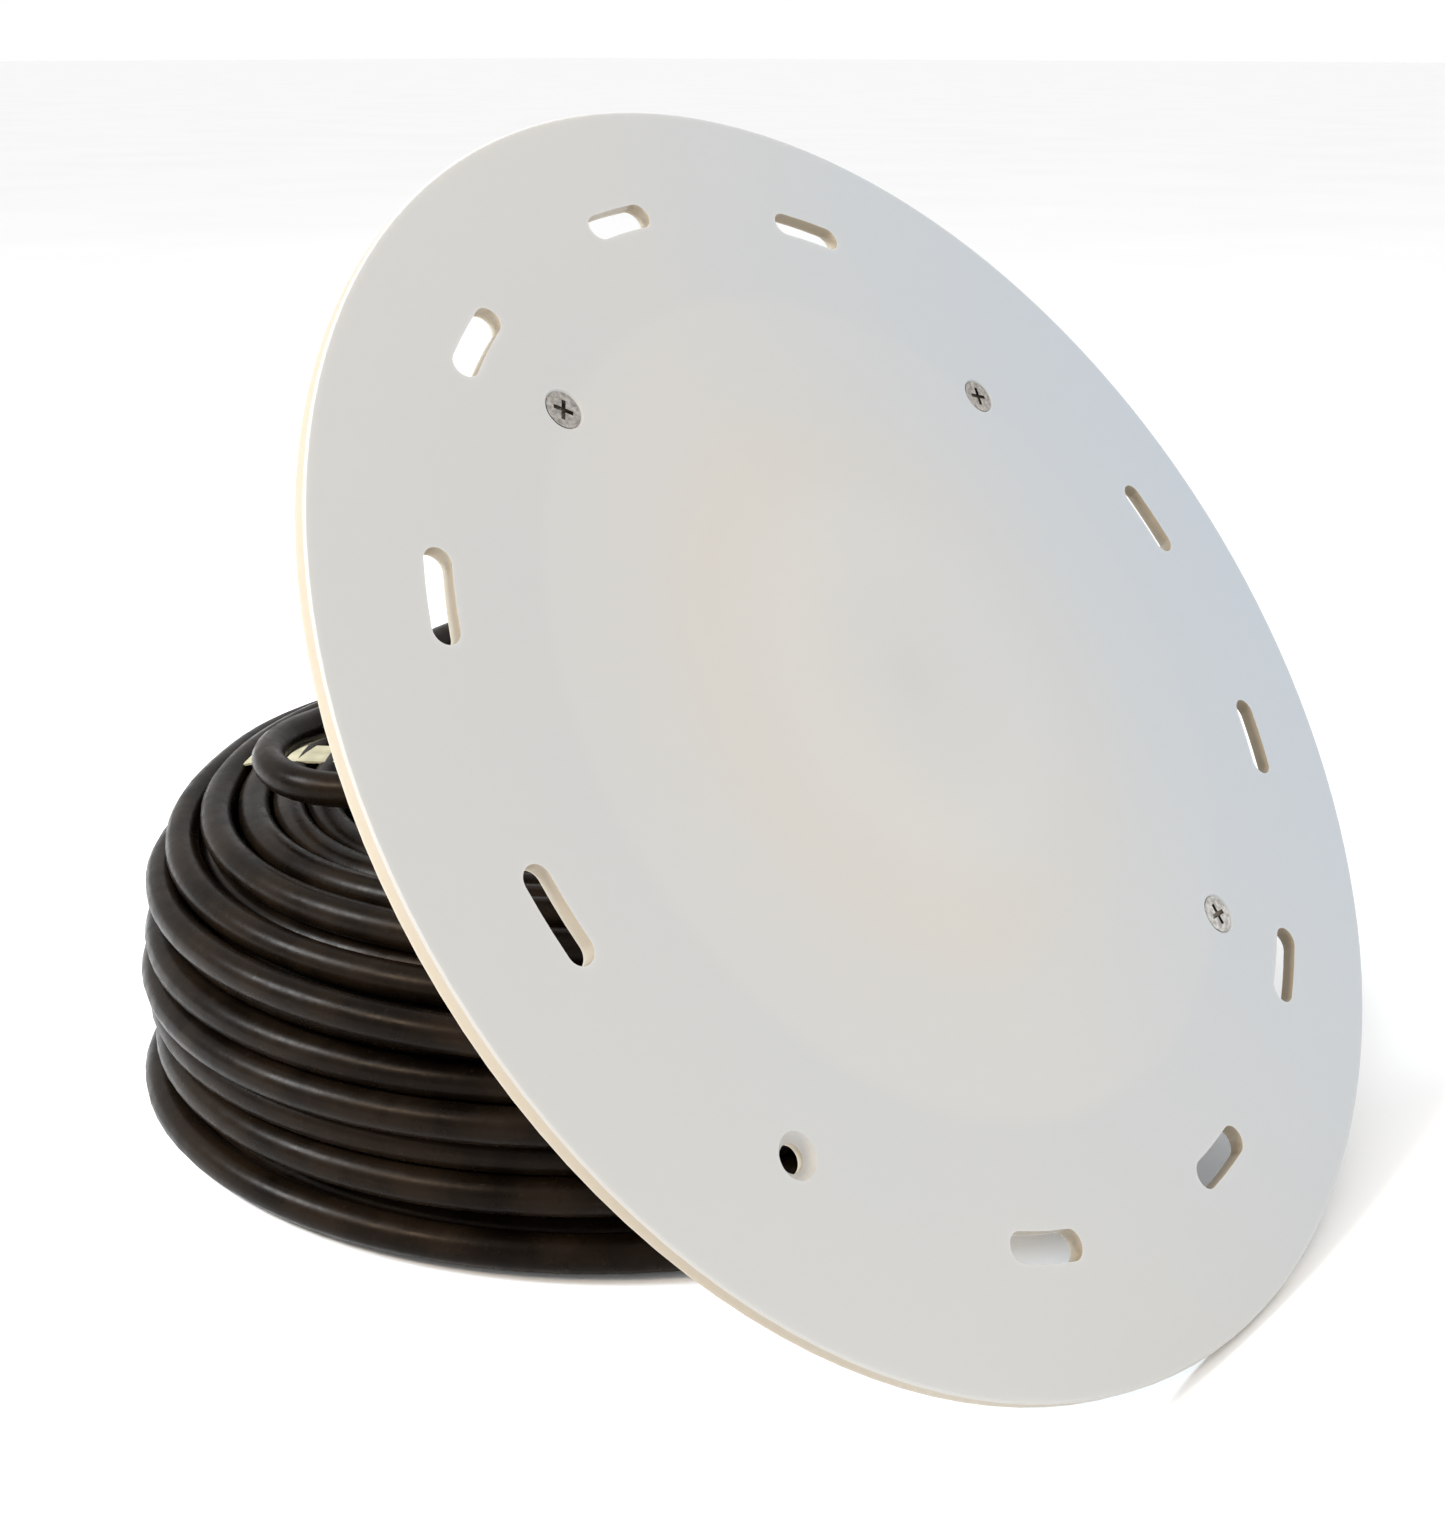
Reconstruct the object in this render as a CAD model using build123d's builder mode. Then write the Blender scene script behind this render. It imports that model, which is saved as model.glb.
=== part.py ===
"""Underwater pool light: a round translucent face plate with a sealed LED lamp behind it,
leaning on the coil of its own supply cable. Millimetres and degrees, +Z up, floor at z = 0."""
import os
from math import cos, dist, pi, radians, sin, tan

from build123d import *

# Face plate
plate_radius = 139.7
plate_thickness = 3.175
plate_bevel = 0.4
slot_circle = 113.6
slot_length = 19.0
slot_width = 5.8
slot_angles = (0, 30, 60, 120, 150, 180, 210, 240, 300, 330)
pilot_circle = 111.4
pilot_radius = 2.6
pilot_sink_radius = 4.2

# How the head stands: its normal rises by head_tilt, and its 3 o'clock is turned by head_roll
head_tilt = 36.1
head_roll = 128.2

# Plate screws, at 3, 6 and 9 o'clock
screw_circle = 92.1
screw_angles = (0, 180, 270)
screw_turns = {0: 20, 180: 52, 270: 35}
screw_radius = 2.0
screw_head_radius = 4.02
screw_head_height = 2.1
screw_recess = 0.25
screw_length = 9.0
sink_radius = 4.5
recess_span = 4.6
recess_width = 0.95
recess_depth = 1.5
insert_radius = 3.2
insert_length = 5.6

# Lamp housing behind the plate
flange_radius = 90.0
flange_depth = 8.8
rim_width = 1.8
ear_reach = 107.0
ear_width = 40.0
ear_thickness = 6.4
cup_radius = 76.0
cup_base_radius = 74.8
cup_wall = 3.5
housing_back = 28.8
floor_thickness = 2.6
seat_radius = 80.0
gusset_count = 12
gusset_thickness = 2.4
gusset_reach = 86.0
gusset_height = 12.0
gusset_foot = 60.0
cup_fillet = 2.0
groove_radii = (16.0, 30.0)
groove_width = 2.0
groove_depth = 0.8

# Lens stack
ring_inner_radius = 71.0
ring_thickness = 2.2
ring_screw_circle = 84.3
ring_screw_count = 6
ring_screw_radius = 1.25
ring_screw_head_radius = 2.4
ring_screw_length = 6.0
lens_radius = 79.6
lens_thickness = 3.0
seal_inner_radius = 74.0
seal_thickness = 1.6

# Light engine
reflector_mouth_radius = 40.5
reflector_throat_radius = 12.6
reflector_height = 4.8
reflector_wall = 1.0
led_board_radius = 68.0
led_board_thickness = 1.6
led_board_front = 14.0
led_array_radius = 11.8
led_array_height = 1.2
chip_circle = 52.0
chip_count = 12
chip_size = 3.5
chip_height = 0.8
spreader_radius = 70.0
spreader_thickness = 2.5
post_circle = 62.0
post_radius = 3.6
post_screw_radius = 1.5
post_screw_head_radius = 2.8

# Driver
driver_centre = -32.0
driver_length = 50.0
driver_width = 44.0
driver_back = 24.6
driver_thickness = 1.5

# Cable gland, on the back of the housing towards 3 o'clock
gland_x = 54.5
gland_y = 20.8
gland_bore = 4.2
stem_radius = 8.0
stem_end = 23.0
locknut_across = 20.0
locknut_thickness = 3.0
oring_radius = 10.6
oring_thickness = 1.4
collar_across = 24.0
collar_thickness = 6.0
thread_radius = 9.0
thread_end = 44.4
nut_across = 22.0
nut_start = 37.2
nut_end = 50.0
nut_lip = 3.0
gland_seal_radius = 6.9
relief_end = 80.0
relief_base_radius = 7.4
relief_tip_radius = 5.2
relief_rib_count = 6

# Cable
cable_radius = 3.95
core_radius = 1.35
conductor_radius = 0.6
coil_centre = (19.5, 102.4)
coil_base = 0.95
strap_azimuth = 126.0
strap_width = 12.0
strap_thickness = 0.5
strap_gap = 0.45
waist_width = 44.0

# Frames of the head
tilt = radians(head_tilt)
roll = radians(head_roll)
outward = Vector(0, -cos(tilt), sin(tilt))
three_oclock = Vector(cos(roll), sin(roll) * sin(tilt), sin(roll) * cos(tilt))
head_y = -plate_thickness * cos(tilt) / 2
head_z = plate_radius * cos(tilt) + plate_thickness * sin(tilt)
head = Plane(origin=(0, head_y, head_z), x_dir=three_oclock, z_dir=outward)
head_axis = Axis(head.origin, head.z_dir)


def depth_plane(depth, x=0.0, y=0.0):
    """Plane parallel to the face plate, a depth behind its front face, centred at (x, y)."""
    return Plane(origin=head.from_local_coords((x, y, -depth)), x_dir=head.x_dir, z_dir=head.z_dir)


def wall_plane(angle, depth):
    """Plane through the head's axis at an angle from 3 o'clock: x is the radius, y points outward."""
    spoke = head.x_dir * cos(radians(angle)) + head.y_dir * sin(radians(angle))
    origin = head.from_local_coords((0, 0, -depth))
    return Plane(origin=origin, x_dir=spoke, z_dir=spoke.cross(head.z_dir))


def polar(radius, angle):
    """Point of the head's own plane at a radius and an angle from 3 o'clock."""
    return (radius * cos(radians(angle)), radius * sin(radians(angle)))


def disc(front, back, outer, inner=0.0, x=0.0, y=0.0):
    """Disc or ring between two depths, about an axis at (x, y)."""
    with BuildSketch(depth_plane(back, x, y)) as outline:
        Circle(outer)
        if inner:
            Circle(inner, mode=Mode.SUBTRACT)
    extrude(outline.sketch, amount=back - front)


def bore(front, back, radius, x=0.0, y=0.0):
    """Round hole between two depths."""
    with BuildSketch(depth_plane(back, x, y)) as outline:
        Circle(radius)
    extrude(outline.sketch, amount=back - front, mode=Mode.SUBTRACT)


def block(front, back, x, y, length, width):
    """Rectangular block between two depths, centred at (x, y)."""
    with BuildSketch(depth_plane(back, x, y)) as outline:
        Rectangle(length, width)
    extrude(outline.sketch, amount=back - front)


def hexagon(front, back, across_flats, x=0.0, y=0.0):
    """Hexagonal prism between two depths."""
    with BuildSketch(depth_plane(back, x, y)) as outline:
        RegularPolygon(across_flats / 2, 6, major_radius=False)
    extrude(outline.sketch, amount=back - front)


def cone(front, front_radius, back, back_radius, x=0.0, y=0.0, mode=Mode.ADD):
    """Tapered round piece between two depths."""
    with BuildSketch(depth_plane(front, x, y)) as front_end:
        Circle(front_radius)
    with BuildSketch(depth_plane(back, x, y)) as back_end:
        Circle(back_radius)
    loft([front_end.sketch.face(), back_end.sketch.face()], mode=mode)


def flat_head_screw(front, x, y, head_radius, shank_radius, length):
    """Countersunk screw whose head starts at a depth."""
    head_height = head_radius - shank_radius
    cone(front, head_radius, front + head_height, shank_radius, x, y)
    disc(front + head_height, front + length, shank_radius, x=x, y=y)


def cross_recess(front, x, y, turn, span, width, depth):
    """Cross-shaped driver recess."""
    with BuildSketch(depth_plane(front, x, y)) as cross:
        Rectangle(span, width, rotation=turn)
        Rectangle(width, span, rotation=turn)
    extrude(cross.sketch, amount=-depth, mode=Mode.SUBTRACT)


def cable_radii(points):
    """Arc radius at each inner corner of a route: as large as its two runs allow."""
    radii = []
    for before, corner, after in zip(points, points[1:], points[2:]):
        turn = (Vector(corner) - Vector(before)).get_angle(Vector(after) - Vector(corner))
        shorter = min(dist(before, corner), dist(corner, after))
        radii.append(0.45 * shorter / tan(radians(turn / 2)))
    return radii


def round_cable(points, radius):
    """Round cable along a route of straight runs joined by tangent arcs."""
    with BuildLine() as path:
        FilletPolyline(*points, radius=cable_radii(points))
    with BuildSketch(Plane(origin=path.line @ 0, z_dir=path.line % 0)) as end_face:
        Circle(radius)
    sweep(end_face.sketch, path=path.wire())
    return path.wire().length


# Depths of the stack, all behind the plate's front face
ring_front = plate_thickness
lens_front = ring_front + ring_thickness
seal_front = lens_front + lens_thickness
seat_depth = seal_front + seal_thickness
cup_floor = housing_back - floor_thickness
board_back = led_board_front + led_board_thickness
spreader_back = board_back + spreader_thickness
driver_front = driver_back - driver_thickness

with BuildPart() as faceplate:
    slot_sweep = (slot_length - slot_width) / slot_circle * 180 / pi
    with BuildSketch(depth_plane(plate_thickness)):
        Circle(plate_radius)
        for slot_angle in slot_angles:
            slot_start = slot_angle - slot_sweep / 2
            slot_stop = slot_angle + slot_sweep / 2
            with BuildLine():
                CenterArc((0, 0), slot_circle + slot_width / 2, slot_start, slot_sweep)
                CenterArc((0, 0), slot_circle - slot_width / 2, slot_start, slot_sweep)
                CenterArc(polar(slot_circle, slot_start), slot_width / 2, slot_start + 180, 180)
                CenterArc(polar(slot_circle, slot_stop), slot_width / 2, slot_stop, 180)
            make_face(mode=Mode.SUBTRACT)
    extrude(amount=plate_thickness)
    plate_edges = faceplate.edges().filter_by(GeomType.CIRCLE).filter_by(lambda e: e.radius > 139)
    chamfer(plate_edges.sort_by(head_axis)[-1], plate_bevel)
    for screw_angle in screw_angles:
        with Locations(depth_plane(0, *polar(screw_circle, screw_angle))):
            CounterSinkHole(screw_radius + 0.25, sink_radius, plate_thickness, 90)
    with Locations(depth_plane(0, *polar(pilot_circle, 90))):
        CounterSinkHole(pilot_radius, pilot_sink_radius, plate_thickness, 82)

with BuildPart() as faceplate_screws:
    for screw_angle in screw_angles:
        centre = polar(screw_circle, screw_angle)
        flat_head_screw(screw_recess, *centre, screw_head_radius, screw_radius, screw_length)
        turn = screw_turns[screw_angle]
        cross_recess(screw_recess, *centre, turn, recess_span, recess_width, recess_depth)

with BuildPart() as ear_inserts:
    for screw_angle in screw_angles:
        centre = polar(screw_circle, screw_angle)
        insert_back = plate_thickness + insert_length
        disc(plate_thickness, insert_back, insert_radius, screw_radius + 0.05, *centre)

with BuildPart() as lamp_housing:
    disc(ring_front, ring_front + flange_depth, flange_radius)
    for screw_angle in screw_angles:
        with BuildSketch(depth_plane(ring_front + ear_thickness)):
            with Locations(Location((*polar(ear_reach - 15, screw_angle), 0), (0, 0, screw_angle))):
                RectangleRounded(30, ear_width, 8)
        extrude(amount=ear_thickness)
    cone(ring_front + flange_depth, cup_radius, housing_back, cup_base_radius)
    fillet(lamp_housing.edges().filter_by(GeomType.CIRCLE).sort_by(head_axis)[0], cup_fillet)
    for index in range(gusset_count):
        gusset_angle = 15 + index * 360 / gusset_count
        with BuildSketch(wall_plane(gusset_angle, ring_front + flange_depth - 0.5)):
            with BuildLine():
                Polyline(
                    (gusset_foot, 0),
                    (gusset_reach, 0),
                    (cup_radius - 0.6, -gusset_height),
                    (gusset_foot, -gusset_height),
                    close=True,
                )
            make_face()
        extrude(amount=gusset_thickness / 2, both=True)
    for groove_radius in groove_radii:
        with BuildSketch(depth_plane(housing_back)):
            Circle(groove_radius + groove_width)
            Circle(groove_radius, mode=Mode.SUBTRACT)
        extrude(amount=groove_depth, mode=Mode.SUBTRACT)
    bore(0, lens_front, flange_radius - rim_width)
    bore(0, seat_depth, seat_radius)
    bore(0, cup_floor, cup_radius - cup_wall)
    for post_angle in range(45, 360, 90):
        disc(spreader_back, housing_back - 1, post_radius, 0, *polar(post_circle, post_angle))
        bore(spreader_back - 1, cup_floor, post_screw_radius, *polar(post_circle, post_angle))
    for rib_x in (driver_centre - 18, driver_centre + 18):
        block(driver_back, housing_back - 1, rib_x, 0, 3, driver_width - 8)
    for screw_angle in screw_angles:
        insert_back = ring_front + insert_length
        bore(0, insert_back, insert_radius, *polar(screw_circle, screw_angle))
        bore(0, insert_back + 2, screw_radius + 0.3, *polar(screw_circle, screw_angle))
    for index in range(ring_screw_count):
        pilot = polar(ring_screw_circle, 30 + index * 360 / ring_screw_count)
        bore(0, ring_front + ring_screw_length + 0.2, ring_screw_radius, *pilot)
    bore(cup_floor - 1, housing_back + 1, stem_radius + 0.1, gland_x, gland_y)

with BuildPart() as lens_ring:
    disc(ring_front, lens_front, flange_radius - rim_width - 0.2, ring_inner_radius)
    for index in range(ring_screw_count):
        spot = polar(ring_screw_circle, 30 + index * 360 / ring_screw_count)
        with Locations(depth_plane(ring_front, *spot)):
            CounterSinkHole(ring_screw_radius + 0.1, ring_screw_head_radius + 0.15, ring_thickness, 90)

with BuildPart() as ring_screws:
    for index in range(ring_screw_count):
        spot = polar(ring_screw_circle, 30 + index * 360 / ring_screw_count)
        head_size = (ring_screw_head_radius, ring_screw_radius, ring_screw_length)
        flat_head_screw(ring_front + 0.05, *spot, *head_size)
        cross_recess(ring_front + 0.05, *spot, index * 25, 2.6, 0.6, 0.8)

with BuildPart() as lens:
    disc(lens_front, seal_front, lens_radius)

with BuildPart() as lens_seal:
    disc(seal_front, seat_depth, seat_radius - 0.8, seal_inner_radius)

with BuildPart() as reflector:
    throat = led_board_front
    mouth = throat - reflector_height
    cone(mouth, reflector_mouth_radius + reflector_wall, throat, reflector_throat_radius + reflector_wall)
    cone(mouth, reflector_mouth_radius, throat, reflector_throat_radius, mode=Mode.SUBTRACT)

with BuildPart() as led_board:
    disc(led_board_front, board_back, led_board_radius)
    for post_angle in range(45, 360, 90):
        bore(0, board_back + 1, post_screw_radius + 0.15, *polar(post_circle, post_angle))

with BuildPart() as led_array:
    disc(led_board_front - led_array_height, led_board_front, led_array_radius)

with BuildPart() as led_chips:
    for index in range(chip_count):
        spot = polar(chip_circle, index * 360 / chip_count)
        block(led_board_front - chip_height, led_board_front, *spot, chip_size, chip_size)

with BuildPart() as heat_spreader:
    disc(board_back, spreader_back, spreader_radius)
    for post_angle in range(45, 360, 90):
        bore(0, spreader_back + 1, post_screw_radius + 0.15, *polar(post_circle, post_angle))

with BuildPart() as board_screws:
    for post_angle in range(45, 360, 90):
        spot = polar(post_circle, post_angle)
        disc(led_board_front - 1.4, led_board_front, post_screw_head_radius, x=spot[0], y=spot[1])
        disc(led_board_front, cup_floor - 3, post_screw_radius - 0.1, x=spot[0], y=spot[1])
        cross_recess(led_board_front - 1.4, *spot, post_angle, 2.8, 0.6, 0.9)

with BuildPart() as driver_board:
    block(driver_front, driver_back, driver_centre, 0, driver_length, driver_width)

with BuildPart() as driver_inductor:
    disc(driver_front - 4.2, driver_front, 6.0, 2.2, driver_centre - 12, 10)

with BuildPart() as driver_capacitors:
    for capacitor_y in (-16, -8):
        disc(driver_front - 4.4, driver_front, 3.2, x=driver_centre - 16, y=capacitor_y)

with BuildPart() as driver_bridge:
    block(driver_front - 2.4, driver_front, driver_centre, -12, 8, 6)
    block(driver_front - 1.6, driver_front, driver_centre + 2, 12, 6, 5)

with BuildPart() as terminal_block:
    block(driver_front - 4.4, driver_front, driver_centre + 19, 0, 8, 20)

with BuildPart() as gland_locknut:
    hexagon(cup_floor - locknut_thickness, cup_floor, locknut_across, gland_x, gland_y)
    bore(0, cup_floor, stem_radius + 0.05, gland_x, gland_y)

with BuildPart() as gland_oring:
    disc(housing_back, housing_back + oring_thickness, oring_radius, stem_radius + 0.2, gland_x, gland_y)

with BuildPart() as gland_body:
    collar_front = housing_back + oring_thickness
    disc(stem_end, thread_end, stem_radius, x=gland_x, y=gland_y)
    hexagon(collar_front, collar_front + collar_thickness, collar_across, gland_x, gland_y)
    disc(collar_front + collar_thickness, thread_end, thread_radius, x=gland_x, y=gland_y)
    bore(stem_end - 1, thread_end + 1, gland_bore, gland_x, gland_y)
    bore(nut_start + 1.2, thread_end + 1, gland_seal_radius + 0.1, gland_x, gland_y)

with BuildPart() as gland_seal:
    disc(nut_start + 1.4, nut_end - nut_lip - 0.2, gland_seal_radius, cable_radius + 0.05, gland_x, gland_y)

with BuildPart() as gland_nut:
    hexagon(nut_start, nut_end, nut_across, gland_x, gland_y)
    bore(0, nut_end - nut_lip, thread_radius + 0.08, gland_x, gland_y)
    bore(0, nut_end + 1, gland_bore, gland_x, gland_y)
    nut_rim = gland_nut.edges().group_by(head_axis)[0].filter_by(GeomType.LINE)
    chamfer(nut_rim, 1.2)

with BuildPart() as strain_relief:
    cone(nut_end, relief_base_radius, relief_end, relief_tip_radius, gland_x, gland_y)
    rib_pitch = (relief_end - nut_end) / (relief_rib_count + 1)
    for index in range(relief_rib_count):
        groove = nut_end + (index + 0.7) * rib_pitch
        with BuildSketch(depth_plane(groove + rib_pitch * 0.4, gland_x, gland_y)):
            Circle(relief_base_radius + 2)
            Circle(relief_tip_radius - 0.3, mode=Mode.SUBTRACT)
        extrude(amount=rib_pitch * 0.4, mode=Mode.SUBTRACT)
    bore(nut_end - 1, relief_end + 1, cable_radius + 0.05, gland_x, gland_y)

with BuildPart() as cable_entry:
    disc(stem_end, relief_end, cable_radius, x=gland_x, y=gland_y)

inner_cores = []
for name, side in (("inner_core_black", 1), ("inner_core_white", 0), ("inner_core_green", -1)):
    with BuildPart() as inner_core:
        start = head.from_local_coords((gland_x, gland_y + side * 2.8, -stem_end + 1.5))
        rise = head.from_local_coords((gland_x - 8, gland_y + side * 3.4, -stem_end + 2.8))
        end = head.from_local_coords((driver_centre + 24, side * 6, -stem_end + 2.4))
        round_cable([start, rise, end], core_radius)
    inner_core.part.label = name
    inner_cores.append(inner_core.part)

# The uncoiled stretch of the cable, from the strain relief over the coil's hole to its top
exit_point = head.from_local_coords((gland_x, gland_y, -relief_end))
straight_out = head.from_local_coords((gland_x, gland_y, -relief_end - 14))
lead_route = [
    tuple(exit_point),
    tuple(straight_out),
    (-57.0, 104.5, 80.6),
    (-64.5, 119.5, 80.2),
    (-59.0, 139.5, 80.2),
    (-43.0, 152.5, 79.4),
    (-23.0, 158.5, 77.5),
    (-2.0, 166.0, 77.5),
    (18.0, 178.0, 79.4),
    (44.0, 189.0, 80.0),
    (71.0, 191.0, 76.5),
    (95.0, 180.0, 70.5),
]
with BuildPart() as cable_lead:
    lead_length = round_cable(lead_route, cable_radius)

# The far end, leaving the coil's outer bottom turn along the floor
tail_height = coil_base + cable_radius
tail_route = [
    (19.5, 216.4, tail_height),
    (42.0, 219.5, tail_height),
    (64.0, 220.5, tail_height),
    (86.0, 217.0, tail_height),
]
with BuildPart() as cable_tail:
    tail_length = round_cable(tail_route, cable_radius)

# The coil's outer shape, as (radius, height) points about its own axis
coil_outline = [
    (57, coil_base),
    (116, coil_base),
    (119, 3),
    (123.5, 14),
    (124.2, 30),
    (124.2, 58),
    (121.5, 67),
    (112, 72.5),
    (100, 75.5),
    (92, 76.1),
    (80, 76.1),
    (66, 72),
    (57, 68),
]
# The turns under the head are pushed down by this much more than they need
head_room = 0.6

# The strap draws the turns together, so the coil has a waist there
waist_outline = [
    (55, coil_base),
    (99, coil_base),
    (102, 5),
    (102, 58),
    (96, 65),
    (86, 67),
    (66, 67),
    (55, 60),
]
azimuth = radians(strap_azimuth)
across = Vector(cos(azimuth), sin(azimuth), 0)
facing = Vector(sin(azimuth), -cos(azimuth), 0)
strap_plane = Plane(origin=(*coil_centre, 0), x_dir=across, z_dir=facing)

with BuildPart() as coil_strap:
    with BuildSketch(strap_plane):
        with BuildLine():
            Polyline(*waist_outline, close=True)
        waist_face = make_face(mode=Mode.PRIVATE)
        offset(waist_face, amount=strap_gap + strap_thickness, kind=Kind.ARC)
        offset(waist_face, amount=strap_gap, kind=Kind.ARC, mode=Mode.SUBTRACT)
    extrude(amount=strap_width / 2, both=True)

with BuildPart() as waist_room:
    with BuildSketch(strap_plane):
        with Locations((coil_centre[1], 0)):
            Rectangle(130, 200)
        with BuildLine():
            Polyline(*waist_outline, close=True)
        make_face(mode=Mode.SUBTRACT)
    extrude(amount=waist_width / 2, both=True)

coil_axis = Axis((*coil_centre, 0), (0, 0, 1))
with BuildPart() as cable_coil:
    with BuildSketch(Plane(origin=(*coil_centre, 0), x_dir=(1, 0, 0), z_dir=(0, -1, 0))):
        with BuildLine():
            Polyline(*coil_outline, close=True)
        make_face()
    revolve(axis=coil_axis)
    with BuildSketch(depth_plane(plate_thickness + head_room)) as room:
        Circle(plate_radius + 2)
    extrude(room.sketch, amount=200, mode=Mode.SUBTRACT)
    with BuildSketch(depth_plane(ring_front + flange_depth + head_room)) as room:
        Circle(ear_reach + head_room)
    extrude(room.sketch, amount=30, mode=Mode.SUBTRACT)
    with BuildSketch(depth_plane(housing_back + head_room)) as room:
        Circle(gusset_reach + head_room)
    extrude(room.sketch, amount=30, mode=Mode.SUBTRACT)
    add(waist_room.part, mode=Mode.SUBTRACT)
    add(cable_lead.part, mode=Mode.SUBTRACT)
    add(cable_tail.part, mode=Mode.SUBTRACT)

tail_cores = []
tail_tips = []
tail_layout = {"tail_core_black": (1.7, 7), "tail_core_white": (0, 1), "tail_core_green": (-1.7, -6)}
for name, (side, spread) in tail_layout.items():
    lift = 1.2 if side else -1.0
    route = [
        (86.4, 216.9 + side, tail_height + lift),
        (95.0, 215.8 + side * 1.3, tail_height + lift - 0.6),
        (107.0, 213.0 + side + spread * 0.5, core_radius + 0.8),
        (120.0, 209.5 + spread, core_radius + 0.1),
    ]
    with BuildPart() as tail_core:
        round_cable(route, core_radius)
    tail_core.part.label = name
    tail_cores.append(tail_core.part)
    tail_tips.append((Vector(route[-1]), (Vector(route[-1]) - Vector(route[-2])).normalized()))

with BuildPart() as tail_conductors:
    for tip, direction in tail_tips:
        flat = Vector(direction.X, direction.Y, 0).normalized()
        with BuildSketch(Plane(origin=tip, z_dir=flat)):
            Circle(conductor_radius)
        extrude(amount=11)

pieces = {
    "faceplate": faceplate,
    "faceplate_screws": faceplate_screws,
    "ear_inserts": ear_inserts,
    "lamp_housing": lamp_housing,
    "lens_ring": lens_ring,
    "ring_screws": ring_screws,
    "lens": lens,
    "lens_seal": lens_seal,
    "reflector": reflector,
    "led_board": led_board,
    "led_array": led_array,
    "led_chips": led_chips,
    "heat_spreader": heat_spreader,
    "board_screws": board_screws,
    "driver_board": driver_board,
    "driver_inductor": driver_inductor,
    "driver_capacitors": driver_capacitors,
    "driver_bridge": driver_bridge,
    "terminal_block": terminal_block,
    "gland_locknut": gland_locknut,
    "gland_oring": gland_oring,
    "gland_body": gland_body,
    "gland_seal": gland_seal,
    "gland_nut": gland_nut,
    "strain_relief": strain_relief,
    "cable_entry": cable_entry,
    "cable_lead": cable_lead,
    "cable_coil": cable_coil,
    "coil_strap": coil_strap,
    "cable_tail": cable_tail,
    "tail_conductors": tail_conductors,
}
os.makedirs("parts", exist_ok=True)
for label, piece in pieces.items():
    piece.part.label = label
    export_step(piece.part, f"parts/{label}.step")
for core in inner_cores + tail_cores:
    export_step(core, f"parts/{core.label}.step")

for title, route, length, solid in (
    ("lead", lead_route, lead_length, cable_lead),
    ("tail", tail_route, tail_length, cable_tail),
):
    section = pi * cable_radius**2
    print(title, "radii", [round(radius, 1) for radius in cable_radii(route)])
    print(title, "length", round(length, 1), "volume ratio", round(solid.part.volume / section / length, 4))
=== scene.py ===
import math

import bpy
import numpy as np
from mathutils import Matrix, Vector


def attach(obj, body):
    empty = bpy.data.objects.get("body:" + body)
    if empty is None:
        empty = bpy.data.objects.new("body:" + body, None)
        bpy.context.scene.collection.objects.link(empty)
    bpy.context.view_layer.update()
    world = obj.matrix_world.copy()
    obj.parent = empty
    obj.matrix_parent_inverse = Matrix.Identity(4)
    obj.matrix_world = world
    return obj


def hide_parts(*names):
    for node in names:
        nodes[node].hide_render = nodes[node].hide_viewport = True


# Underwater pool light, leaning on the coil of its own cable. Metres, +Z up, floor at z = 0.
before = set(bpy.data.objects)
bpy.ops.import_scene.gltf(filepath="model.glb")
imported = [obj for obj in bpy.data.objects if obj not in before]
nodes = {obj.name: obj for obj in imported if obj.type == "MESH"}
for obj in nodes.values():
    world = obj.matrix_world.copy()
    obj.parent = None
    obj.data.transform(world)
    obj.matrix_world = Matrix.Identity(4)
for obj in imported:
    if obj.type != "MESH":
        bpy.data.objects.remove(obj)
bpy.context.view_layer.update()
MM = 0.001

# ---------------------------------------------------------------- frame of the lamp head
HEAD_TILT = math.radians(36.1)
HEAD_ROLL = math.radians(128.2)
PLATE_RADIUS = 139.7 * MM
PLATE_THICKNESS = 3.175 * MM
outward = Vector((0, -math.cos(HEAD_TILT), math.sin(HEAD_TILT)))
uphill = Vector((0, math.sin(HEAD_TILT), math.cos(HEAD_TILT)))
head_centre = Vector((
    0,
    -PLATE_THICKNESS * math.cos(HEAD_TILT) / 2,
    PLATE_RADIUS * math.cos(HEAD_TILT) + PLATE_THICKNESS * math.sin(HEAD_TILT),
))

# ---------------------------------------------------------------- camera
view_direction = Vector((0.7420, 0.6374, -0.2079))
camera_data = bpy.data.cameras.new("camera")
camera_data.sensor_fit = "VERTICAL"
camera_data.sensor_height = 36
camera_data.lens = 50
camera_data.shift_y = -0.175
camera_data.clip_start = 0.01
camera = bpy.data.objects.new("camera", camera_data)
camera.location = (-0.3429, -0.2445, 0.2418)
camera.rotation_euler = view_direction.to_track_quat("-Z", "Y").to_euler()
bpy.context.scene.collection.objects.link(camera)
bpy.context.scene.camera = camera

# ---------------------------------------------------------------- the cable
CABLE_DIAMETER = 7.9 * MM
COIL_CENTRE = (19.5 * MM, 102.4 * MM)
# The gland in the plate's own directions, then across and uphill once the head is rolled
GLAND_LOCAL = (54.5, 20.8)
GLAND = (
    GLAND_LOCAL[0] * math.cos(HEAD_ROLL) - GLAND_LOCAL[1] * math.sin(HEAD_ROLL),
    GLAND_LOCAL[0] * math.sin(HEAD_ROLL) + GLAND_LOCAL[1] * math.cos(HEAD_ROLL),
)
# Depths behind the plate of the strain relief's end and of the end of the straight run
EXIT_DEPTH = 80
STRAIGHT_DEPTH = 94
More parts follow.
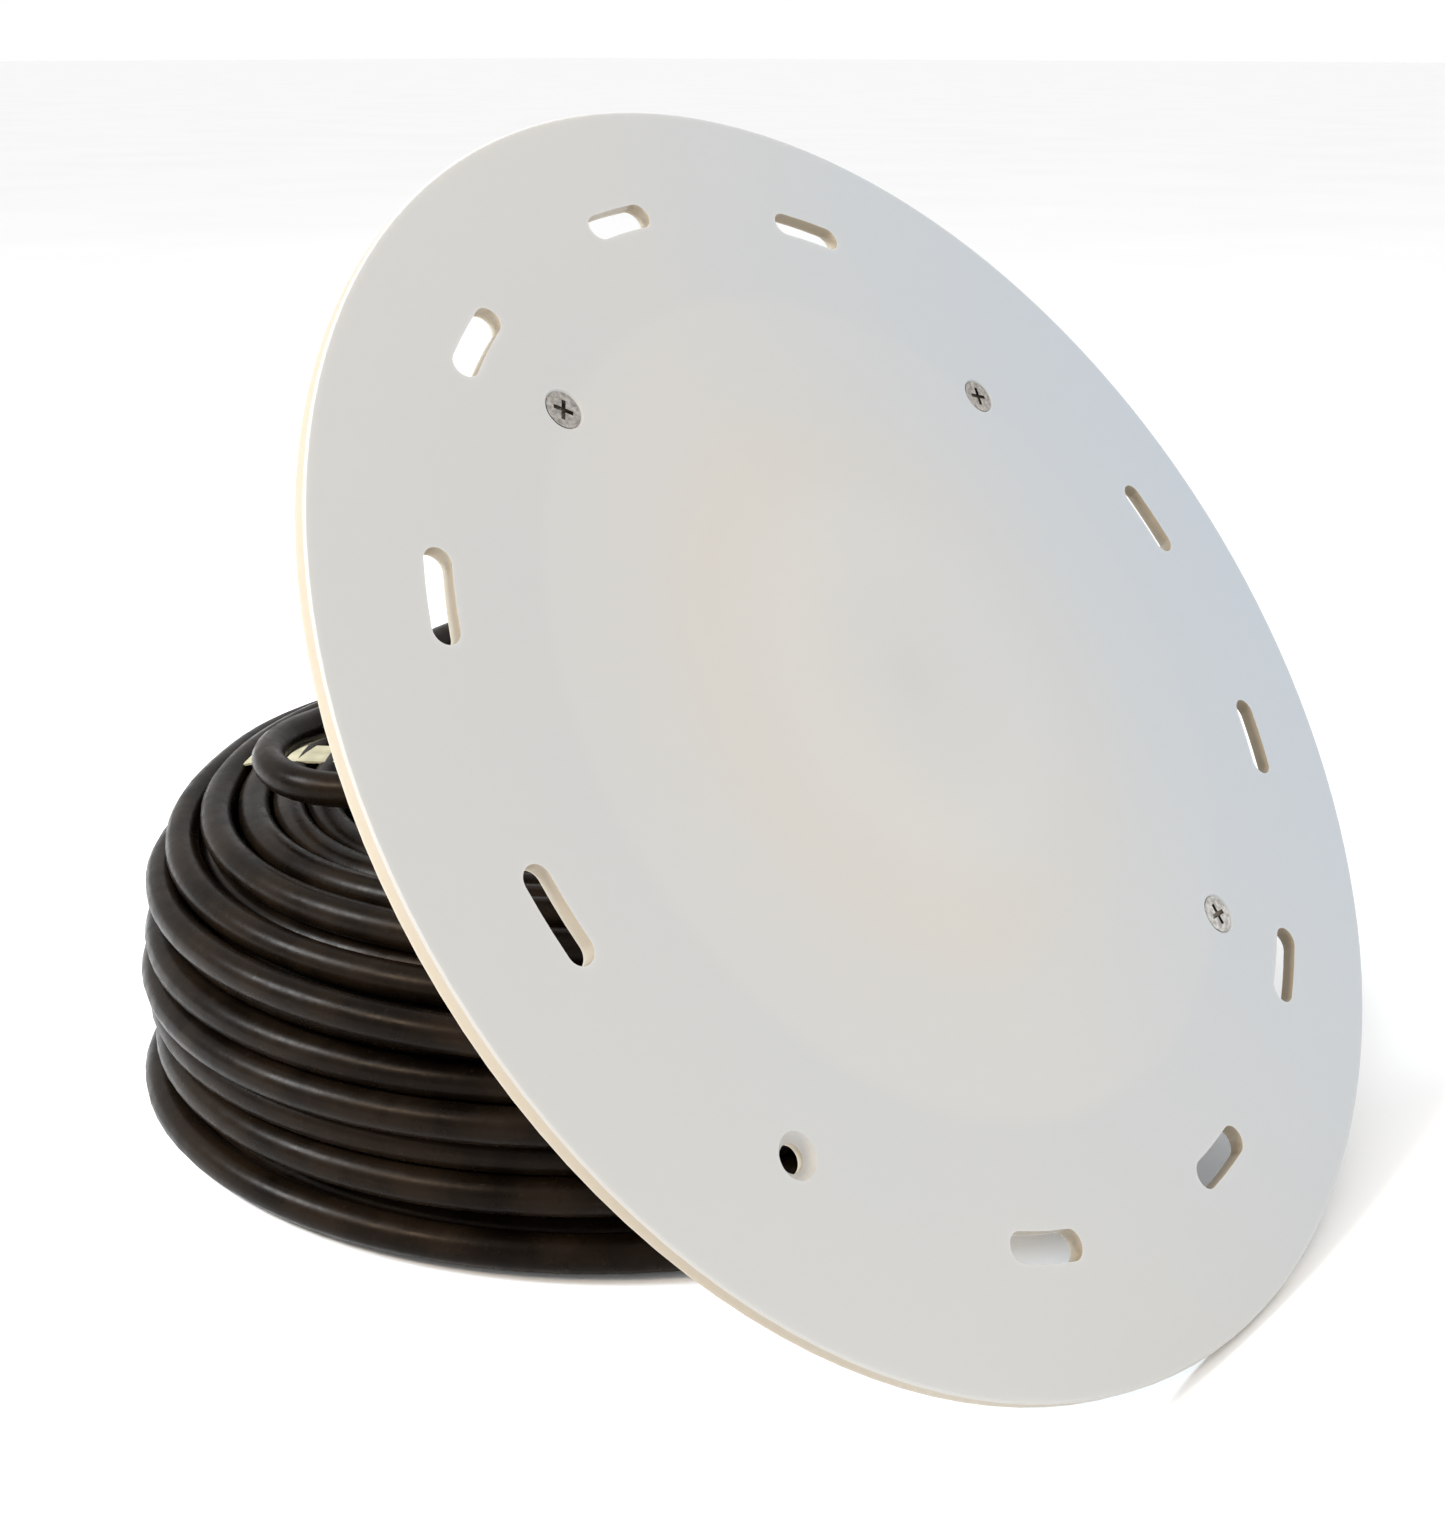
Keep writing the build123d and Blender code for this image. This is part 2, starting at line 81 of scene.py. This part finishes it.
# Routes in millimetres: from the straight run onto the coil, and out of it to the bare end
LEAD_ROUTE = [
    (-57.0, 104.5, 80.6),
    (-64.5, 119.5, 80.2),
    (-59.0, 139.5, 80.2),
    (-43.0, 152.5, 79.4),
    (-23.0, 158.5, 77.5),
    (-2.0, 166.0, 77.5),
    (18.0, 178.0, 79.4),
    (44.0, 189.0, 80.0),
    (71.0, 191.0, 76.5),
    (95.0, 180.0, 70.5),
]
TAIL_ROUTE = [
    (19.5, 216.4, 4.9),
    (42.0, 219.5, 4.9),
    (64.0, 220.5, 4.9),
    (86.0, 217.0, 4.9),
]
# The coil is wound in millimetres, each turn with the same number of stations
STATIONS = 24
TURN_PITCH = 8.8
LEVEL_BASE = 4.9
MOST_RADIUS = 123.0
# Height, outer and inner radius of the turns on each level, from the top down
LEVELS = [
    (71.0, 104.5, 70),
    (62.0, 111.5, 63),
    (51.5, 118, 62),
    (41.0, 120, 63),
    (32.5, 117, 62),
    (24.5, 119, 61),
    (14.5, 115, 62),
    (4.9, 117, 61),
]
# The top level falls away outwards from one radius and inwards from another
CROWN_OUTER = (88, 0.0102)
CROWN_INNER = (82, 0.02)
# Each level's shift to one side and its oval, in millimetres, and their directions
SHIFTS = (0.0, 0.0, 2.5, 3.0, 1.0, 1.0, 1.0, 0.0)
OVALS = (2.0, 3.0, 3.5, 2.0, 0.0, 0.5, 0.0, 0.0)
SHIFT_TOWARDS = 140
OVAL_TOWARDS = 150
# Shift and oval start at one radius and are full this much further out
SHIFT_FROM = 70
SHIFT_OVER = 40
# Random sway of each turn: radius or height, and its size for one wave round the turn
SWAY = ((0, 1.5), (1, 1.3))
SWAY_WAVES = (1, 2, 3)
# At the strap the turns are drawn together from the loose radii into a waist, with its azimuth
# and width in degrees
WAIST_AZIMUTH = 126
WAIST_SPREAD = 12
WAIST_RADII = (59, 98)
WAIST_TOP = 63.0
LOOSE_RADII = (61, 118)
# Away from the waist the turns lie closer together on the side that faces this azimuth
LEAN = 0.14
LEAN_TOWARDS = 165
# Settling: rounds, gap that turns are pushed to, and how hard they are pushed apart, drawn back
# to where they were wound and smoothed along the cable
SETTLE_ROUNDS = 160
TURN_GAP = 0.05
PUSH_APART = 0.35
DRAW_BACK = 0.02
SMOOTHING = 0.15
FAR_APART = 99
LEAST_DISTANCE = 0.1
# Depth behind the face plate that a turn's centre keeps: the housing's back, half a cable, room
HEAD_DEPTH = 28.8 + 3.95 + 0.4
HEAD_Y = head_centre.y / MM
HEAD_Z = head_centre.z / MM
# Azimuth at which the lead comes down onto the coil
START_ANGLE = math.atan2(
    LEAD_ROUTE[-1][1] - COIL_CENTRE[1] / MM,
    LEAD_ROUTE[-1][0] - COIL_CENTRE[0] / MM,
)


def head_point(across, up, depth):
    """Point given along the head's own horizontal, uphill and depth directions, in millimetres."""
    return head_centre + MM * (Vector((across, 0, 0)) + up * uphill - depth * outward)


def turn_centres():
    """Radius, height and level of each turn: the top level runs inwards, the next one outwards."""
    turns = []
    for level, (height, outer, inner) in enumerate(LEVELS):
        count = 1 + round((outer - inner) / TURN_PITCH)
        radii = np.linspace(outer, inner, count)
        if level % 2:
            radii = radii[::-1]
        for radius in radii:
            drop = 0
            if level == 0:
                drop += CROWN_OUTER[1] * max(0, radius - CROWN_OUTER[0]) ** 2
                drop += CROWN_INNER[1] * max(0, CROWN_INNER[0] - radius) ** 2
            turns.append((radius, height - drop, level))
    return np.array(turns)


def wound_coil(seed=4):
    """Turns of the coil as an array (turn, station, (radius, height)): wound loosely, then settled
    by pushing them apart. At the waist there is too little room, so turns there press together."""
    random = np.random.default_rng(seed)
    turns = turn_centres()
    centres = turns[:, :2]
    count = len(centres)
    share = np.arange(STATIONS) / STATIONS
    following = np.vstack([centres[1:], centres[-1:]])
    wound = centres[:, None] + (following - centres)[:, None] * share[None, :, None]
    angle = share * 2 * math.pi
    sway = np.zeros((count, STATIONS, 2))
    for waves in SWAY_WAVES:
        for axis, size in SWAY:
            phase = random.uniform(0, 2 * math.pi, count)
            depth = random.normal(0, size / waves, count)
            sway[:, :, axis] += depth[:, None] * np.sin(waves * angle[None, :] + phase[:, None])
    facing = START_ANGLE - angle
    for turn, (radius, _, level) in enumerate(turns):
        outermost = np.clip((radius - SHIFT_FROM) / SHIFT_OVER, 0, 1)
        shift = SHIFTS[int(level)] * np.cos(facing - math.radians(SHIFT_TOWARDS))
        oval = OVALS[int(level)] * np.cos(2 * (facing - math.radians(OVAL_TOWARDS)))
        sway[turn, :, 0] += outermost * (shift + oval)
    target = wound + sway
    away = (np.degrees(facing) - WAIST_AZIMUTH + 180) % 360 - 180
    waist = np.exp(-((away / WAIST_SPREAD) ** 2))
    top = LEVELS[0][0]
    inner, outer = LOOSE_RADII
    narrow = (WAIST_RADII[1] - WAIST_RADII[0]) / (outer - inner)
    low = (WAIST_TOP - LEVEL_BASE) / (top - LEVEL_BASE)
    target[..., 0] += waist * (WAIST_RADII[0] + (target[..., 0] - inner) * narrow - target[..., 0])
    target[..., 1] += waist * (target[..., 1] - LEVEL_BASE) * (low - 1)
    lean = LEAN * (1 - waist) * (1 + np.cos(facing - math.radians(LEAN_TOWARDS))) / 2
    target[..., 1] -= (target[..., 1] - LEVEL_BASE) * lean
    least = inner + waist * (WAIST_RADII[0] - inner)
    most = MOST_RADIUS + waist * (WAIST_RADII[1] - MOST_RADIUS)
    roof = top + waist * (WAIST_TOP - top)
    placed = target.copy()
    gap = CABLE_DIAMETER / MM + TURN_GAP
    for _ in range(SETTLE_ROUNDS):
        offset = placed[:, None] - placed[None]
        distance = np.linalg.norm(offset, axis=3)
        distance[np.arange(count), np.arange(count)] = FAR_APART
        push = np.clip(gap - distance, 0, None) / np.maximum(distance, LEAST_DISTANCE)
        placed += PUSH_APART * (offset * push[..., None]).sum(1)
        placed += DRAW_BACK * (target - placed)
        line = placed.reshape(-1, 2)
        line[1:-1] += SMOOTHING * (line[:-2] + line[2:] - 2 * line[1:-1])
        placed = line.reshape(placed.shape)
        placed[..., 0] = np.clip(placed[..., 0], least, most)
        # Under the head a turn's centre stays below its back
        y = COIL_CENTRE[1] / MM + placed[..., 0] * np.sin(facing)
        ceiling = HEAD_Z + (math.cos(HEAD_TILT) * (y - HEAD_Y) - HEAD_DEPTH) / math.sin(HEAD_TILT)
        placed[..., 1] = np.clip(placed[..., 1], LEVEL_BASE, np.minimum(roof, ceiling))
    return placed


def coil_points():
    """Control points of the turns in metres, clockwise from where the lead comes down.

    The first station and the last three are left out, where the lead and the tail take over.
    """
    points = []
    for step, (radius, height) in enumerate(wound_coil().reshape(-1, 2)):
        angle = START_ANGLE - 2 * math.pi * step / STATIONS
        x = COIL_CENTRE[0] + radius * MM * math.cos(angle)
        y = COIL_CENTRE[1] + radius * MM * math.sin(angle)
        points.append((x, y, height * MM))
    return points[1:-3]


def smooth_curve(name, points, radius, swell, seed=1):
    """Round cable along a NURBS line; swell is the share by which its thickness varies."""
    random = np.random.default_rng(seed)
    data = bpy.data.curves.new(name, "CURVE")
    data.dimensions = "3D"
    spline = data.splines.new("NURBS")
    spline.points.add(len(points) - 1)
    for control, point in zip(spline.points, points):
        control.co = (*point, 1)
        control.radius = radius * (1 + swell * random.uniform(-1, 1))
    spline.order_u = 3
    spline.use_endpoint_u = True
    spline.resolution_u = 4
    data.bevel_depth = 1.0
    data.bevel_resolution = 4
    data.use_fill_caps = True
    piece = bpy.data.objects.new(name, data)
    bpy.context.scene.collection.objects.link(piece)
    return piece


exit_point = head_point(*GLAND, EXIT_DEPTH)
straight_out = head_point(*GLAND, STRAIGHT_DEPTH)
route = [tuple(exit_point), tuple(straight_out)]
route += [tuple(MM * value for value in point) for point in LEAD_ROUTE]
route += coil_points()
route += [tuple(MM * value for value in point) for point in TAIL_ROUTE]
cable = smooth_curve("cable", route, CABLE_DIAMETER / 2, swell=0.02)
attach(cable, "root")
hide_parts("cable_lead", "cable_coil", "cable_tail")

# ---------------------------------------------------------------- materials
# Places of the colour sockets on Blender's Mix node
MIX_FACTOR, MIX_FIRST, MIX_SECOND = 0, 6, 7
MIX_COLOUR = 2


def start_material(name):
    """New material with its shader, and the object's own coordinates."""
    made = bpy.data.materials.new(name)
    made.use_nodes = True
    tree = made.node_tree
    shader = tree.nodes["Principled BSDF"]
    place = tree.nodes.new("ShaderNodeTexCoord").outputs["Object"]
    return made, tree, shader, place


def noise(tree, place, scale, detail=4.0, rough=0.5):
    """Noise over the object, with scale in features per metre."""
    texture = tree.nodes.new("ShaderNodeTexNoise")
    texture.inputs["Scale"].default_value = scale
    texture.inputs["Detail"].default_value = detail
    texture.inputs["Roughness"].default_value = rough
    tree.links.new(place, texture.inputs["Vector"])
    return texture.outputs["Fac"]


def spread(tree, value, low, high, from_low=0.3, from_high=0.7):
    """A value carried from one range to another."""
    node = tree.nodes.new("ShaderNodeMapRange")
    node.inputs["From Min"].default_value = from_low
    node.inputs["From Max"].default_value = from_high
    node.inputs["To Min"].default_value = low
    node.inputs["To Max"].default_value = high
    tree.links.new(value, node.inputs["Value"])
    return node.outputs["Result"]


def ramp(tree, value, stops):
    """Colours along a value: stops are (position, (r, g, b))."""
    node = tree.nodes.new("ShaderNodeValToRGB")
    node.color_ramp.interpolation = "EASE"
    elements = node.color_ramp.elements
    while len(elements) < len(stops):
        elements.new(0.5)
    for element, (position, colour) in zip(elements, stops):
        element.position = position
        element.color = (*colour, 1)
    tree.links.new(value, node.inputs["Fac"])
    return node.outputs["Color"]


def mix(tree, factor, first, second):
    """Mix of a colour socket with a plain colour, by a factor socket."""
    node = tree.nodes.new("ShaderNodeMix")
    node.data_type = "RGBA"
    tree.links.new(factor, node.inputs[MIX_FACTOR])
    tree.links.new(first, node.inputs[MIX_FIRST])
    node.inputs[MIX_SECOND].default_value = (*second, 1)
    return node.outputs[MIX_COLOUR]


def vector_math(tree, operation, first, second=None):
    """Vector operation on a socket and, where it takes two, a constant."""
    node = tree.nodes.new("ShaderNodeVectorMath")
    node.operation = operation
    tree.links.new(first, node.inputs[0])
    if second is not None:
        node.inputs[1].default_value = second
    scalar = operation in ("LENGTH", "DOT_PRODUCT")
    return node.outputs["Value" if scalar else "Vector"]


def bump(tree, shader, height, strength, distance):
    """Fine relief on the shader."""
    node = tree.nodes.new("ShaderNodeBump")
    node.inputs["Strength"].default_value = strength
    node.inputs["Distance"].default_value = distance
    tree.links.new(height, node.inputs["Height"])
    tree.links.new(node.outputs["Normal"], shader.inputs["Normal"])


GRAIN_FINENESS = 8
GRAIN_DEPTH = 0.0002


def plain_surface(name, light, dark, scale, rough, relief, metal):
    """Surface whose colour wanders between two near shades, with worn gloss and fine relief."""
    made, tree, shader, place = start_material(name)
    broad = noise(tree, place, scale)
    tree.links.new(ramp(tree, broad, [(0.3, dark), (0.7, light)]), shader.inputs["Base Color"])
    grain = noise(tree, place, scale * GRAIN_FINENESS, detail=6, rough=0.6)
    tree.links.new(spread(tree, grain, *rough), shader.inputs["Roughness"])
    bump(tree, shader, grain, relief, GRAIN_DEPTH)
    shader.inputs["Metallic"].default_value = metal
    return made


def housing_material():
    """Moulded white plastic: a fine satin grain, faint flow marks and a little grime."""
    made, tree, shader, place = start_material("housing_white")
    flow = noise(tree, place, 14, detail=2)
    tone = ramp(tree, flow, [(0.3, (0.735, 0.73, 0.705)), (0.7, (0.765, 0.76, 0.74))])
    grime = noise(tree, place, 45, detail=8, rough=0.7)
    marked = mix(tree, spread(tree, grime, 0.0, 0.12, 0.56, 0.80), tone, (0.52, 0.50, 0.46))
    tree.links.new(marked, shader.inputs["Base Color"])
    grain = noise(tree, place, 1800, detail=3)
    tree.links.new(spread(tree, grain, 0.34, 0.46), shader.inputs["Roughness"])
    bump(tree, shader, grain, 0.05, 0.0001)
    shader.inputs["Specular IOR Level"].default_value = 0.45
    return made


def lens_material():
    """Clear polycarbonate with faint wear."""
    made, tree, shader, place = start_material("lens_clear")
    wear = noise(tree, place, 400)
    tree.links.new(spread(tree, wear, 0.04, 0.12), shader.inputs["Roughness"])
    shader.inputs["Transmission Weight"].default_value = 1.0
    shader.inputs["IOR"].default_value = 1.58
    return made


def give(names, made):
    """Put a material on CAD nodes or pieces."""
    for name in names:
        piece = nodes[name] if isinstance(name, str) else name
        piece.data.materials.clear()
        piece.data.materials.append(made)


def face_material():
    """Translucent white sheet: rings of painted glow and shade from the housing behind it, a painted
    cooler shade towards one side, warm rim and slot walls.
    """
    made, tree, shader, place = start_material("faceplate_white")
    from_axis = vector_math(tree, "SUBTRACT", place, head_centre)
    across = vector_math(tree, "CROSS_PRODUCT", from_axis, outward)
    radius = vector_math(tree, "LENGTH", across)
    share = spread(tree, radius, 0, 1, 0, PLATE_RADIUS)
    # Painted glow and shade of the housing behind the sheet: a paler disc with a darker centre spot,
    # a warm ring and a cooler band at the housing's edge.
    painted_housing_glow = ramp(tree, share, [
        (0.0, (0.485, 0.483, 0.468)),
        (0.08, (0.51, 0.502, 0.482)),
        (0.24, (0.53, 0.515, 0.486)),
        (0.38, (0.52, 0.496, 0.458)),
        (0.50, (0.505, 0.498, 0.478)),
        (0.635, (0.50, 0.498, 0.485)),
        (0.67, (0.475, 0.482, 0.482)),
        (1.0, (0.49, 0.492, 0.483)),
    ])
    mottle = noise(tree, place, 18, detail=3)
    tone_with_painted_light = mix(tree, spread(tree, mottle, 0.0, 0.3), painted_housing_glow, (0.51, 0.492, 0.470))
    # Painted shade: the sheet's colour turns cooler and darker towards one side.
    painted_cool_side = vector_math(tree, "DOT_PRODUCT", place, (1, 0, 0))
    tone_with_painted_light = mix(tree, spread(tree, painted_cool_side, 0.0, 1.0, -0.02, 0.15), tone_with_painted_light, (0.42, 0.465, 0.515))
    normal = tree.nodes.new("ShaderNodeNewGeometry").outputs["Normal"]
    facing = vector_math(tree, "DOT_PRODUCT", normal, outward)
    square = tree.nodes.new("ShaderNodeMath")
    square.operation = "ABSOLUTE"
    tree.links.new(facing, square.inputs[0])
    edge = spread(tree, square.outputs[0], 1.0, 0.0, 0.35, 0.75)
    coloured = mix(tree, edge, tone_with_painted_light, (0.34, 0.29, 0.22))
    tree.links.new(coloured, shader.inputs["Base Color"])
    grain = noise(tree, place, 900, detail=5)
    tree.links.new(spread(tree, grain, 0.36, 0.46), shader.inputs["Roughness"])
    bump(tree, shader, grain, 0.04, 0.0001)
    shader.inputs["Subsurface Weight"].default_value = 0.25
    shader.inputs["Subsurface Radius"].default_value = (0.004, 0.0035, 0.003)
    shader.inputs["Subsurface Scale"].default_value = 1.0
    shader.inputs["Specular IOR Level"].default_value = 0.35
    return made


def jacket_material():
    """Brown-black cable jacket with a soft sheen, dull scuffs and dust."""
    made, tree, shader, place = start_material("jacket_black")
    broad = noise(tree, place, 60, detail=5)
    tone = ramp(tree, broad, [(0.3, (0.0024, 0.0014, 0.0008)), (0.7, (0.010, 0.0060, 0.0034))])
    dust = noise(tree, place, 700, detail=6, rough=0.7)
    dusted = mix(tree, spread(tree, dust, 0.0, 0.08, 0.60, 0.78), tone, (0.16, 0.13, 0.10))
    tree.links.new(dusted, shader.inputs["Base Color"])
    worn = noise(tree, place, 220, detail=6, rough=0.65)
    tree.links.new(spread(tree, worn, 0.22, 0.40), shader.inputs["Roughness"])
    bump(tree, shader, worn, 0.18, 0.0004)
    shader.inputs["Specular IOR Level"].default_value = 0.07
    shader.inputs["Specular Tint"].default_value = (1.0, 0.86, 0.74, 1)
    return made


give(["faceplate"], face_material())
give(["cable_entry", cable], jacket_material())
# Material: its pieces, light and dark shade, features per metre, least and most roughness,
# relief, metal
PLAIN = {
    "stainless": (
        ["faceplate_screws", "ring_screws", "board_screws"],
        (0.50, 0.47, 0.43), (0.26, 0.24, 0.22), 900, (0.18, 0.38), 0.15, 1.0,
    ),
    "insert_brass": (
        ["ear_inserts"],
        (0.72, 0.52, 0.22), (0.5, 0.36, 0.15), 300, (0.2, 0.4), 0.1, 1.0,
    ),
    "board_white": (
        ["reflector", "led_board"],
        (0.85, 0.85, 0.83), (0.78, 0.78, 0.76), 80, (0.2, 0.3), 0.05, 0.0,
    ),
    "phosphor": (
        ["led_array", "led_chips"],
        (0.85, 0.66, 0.14), (0.75, 0.55, 0.1), 400, (0.4, 0.5), 0.1, 0.0,
    ),
    "spreader": (
        ["heat_spreader"],
        (0.75, 0.76, 0.77), (0.6, 0.61, 0.62), 60, (0.25, 0.4), 0.1, 1.0,
    ),
    "cans": (
        ["driver_capacitors"],
        (0.7, 0.71, 0.73), (0.6, 0.61, 0.62), 200, (0.2, 0.3), 0.05, 1.0,
    ),
    "board_green": (
        ["driver_board"],
        (0.03, 0.13, 0.05), (0.02, 0.09, 0.035), 200, (0.2, 0.35), 0.05, 0.0,
    ),
    "ferrite": (
        ["driver_inductor", "driver_bridge"],
        (0.03, 0.03, 0.032), (0.015, 0.015, 0.016), 300, (0.4, 0.6), 0.1, 0.0,
    ),
    "terminal": (
        ["terminal_block"],
        (0.03, 0.18, 0.07), (0.02, 0.13, 0.05), 200, (0.3, 0.45), 0.05, 0.0,
    ),
    "rubber": (
        ["lens_seal", "gland_oring", "gland_seal", "strain_relief"],
        (0.022, 0.021, 0.02), (0.012, 0.011, 0.011), 120, (0.5, 0.7), 0.2, 0.0,
    ),
    "gland_nylon": (
        ["gland_locknut", "gland_body", "gland_nut"],
        (0.03, 0.03, 0.031), (0.018, 0.018, 0.018), 200, (0.3, 0.45), 0.1, 0.0,
    ),
    "strap_pale": (
        ["coil_strap"],
        (0.50, 0.46, 0.31), (0.34, 0.31, 0.20), 160, (0.5, 0.7), 0.2, 0.0,
    ),
    "core_black": (
        ["inner_core_black", "tail_core_black"],
        (0.02, 0.02, 0.02), (0.01, 0.01, 0.01), 200, (0.25, 0.4), 0.05, 0.0,
    ),
    "core_white": (
        ["inner_core_white", "tail_core_white"],
        (0.8, 0.8, 0.78), (0.7, 0.7, 0.68), 200, (0.25, 0.4), 0.05, 0.0,
    ),
    "core_green": (
        ["inner_core_green", "tail_core_green"],
        (0.03, 0.26, 0.07), (0.02, 0.2, 0.05), 200, (0.25, 0.4), 0.05, 0.0,
    ),
    "copper": (
        ["tail_conductors"],
        (0.85, 0.42, 0.25), (0.6, 0.28, 0.16), 900, (0.2, 0.4), 0.3, 1.0,
    ),
}
for name, (names, *look) in PLAIN.items():
    give(names, plain_surface(name, *look))
give(["lamp_housing", "lens_ring"], housing_material())
give(["lens"], lens_material())

# ---------------------------------------------------------------- floor, light
FLOOR_SIZE = 60


def floor_material():
    """Matt, nearly white floor."""
    made, tree, shader, place = start_material("floor_pale")
    patches = noise(tree, place, 3)
    tone = ramp(tree, patches, [(0.3, (0.93, 0.93, 0.93)), (0.7, (0.95, 0.95, 0.95))])
    tree.links.new(tone, shader.inputs["Base Color"])
    shader.inputs["Roughness"].default_value = 0.9
    shader.inputs["Specular IOR Level"].default_value = 0.1
    return made


bpy.ops.mesh.primitive_plane_add(size=FLOOR_SIZE)
floor = bpy.context.object
floor.name = "floor"
floor.data.materials.append(floor_material())

world = bpy.data.worlds.new("studio")
world.use_nodes = True
background = world.node_tree.nodes["Background"]
background.inputs["Color"].default_value = (1, 1, 1, 1)
background.inputs["Strength"].default_value = 1.0
bpy.context.scene.world = world


def softbox(name, place, aim, size, power, colour):
    """Square area light at a place, turned towards a point."""
    data = bpy.data.lights.new(name, "AREA")
    data.shape = "SQUARE"
    data.size = size
    data.energy = power
    data.color = colour
    lamp = bpy.data.objects.new(name, data)
    lamp.location = place
    lamp.rotation_euler = (Vector(aim) - Vector(place)).to_track_quat("-Z", "Y").to_euler()
    bpy.context.scene.collection.objects.link(lamp)


HEAD_AIM = (0, 0, 0.12)
COIL_AIM = (-0.06, 0.12, 0.04)
WARM, COOL = (1, 0.94, 0.86), (0.82, 0.92, 1)
AMBER, SKY = (1, 0.84, 0.66), (0.80, 0.90, 1)
softbox("key", (-0.2, -0.35, 0.85), HEAD_AIM, size=0.35, power=1.0, colour=WARM)
softbox("fill", (0.7, -0.7, 0.4), HEAD_AIM, size=0.5, power=0.8, colour=COOL)
softbox("sheen", (-0.75, 0.75, 0.75), COIL_AIM, size=0.3, power=18, colour=SKY)
softbox("ridge", (-0.95, 0.30, 0.85), COIL_AIM, size=0.25, power=8, colour=AMBER)
bpy.context.scene.view_settings.view_transform = "Standard"
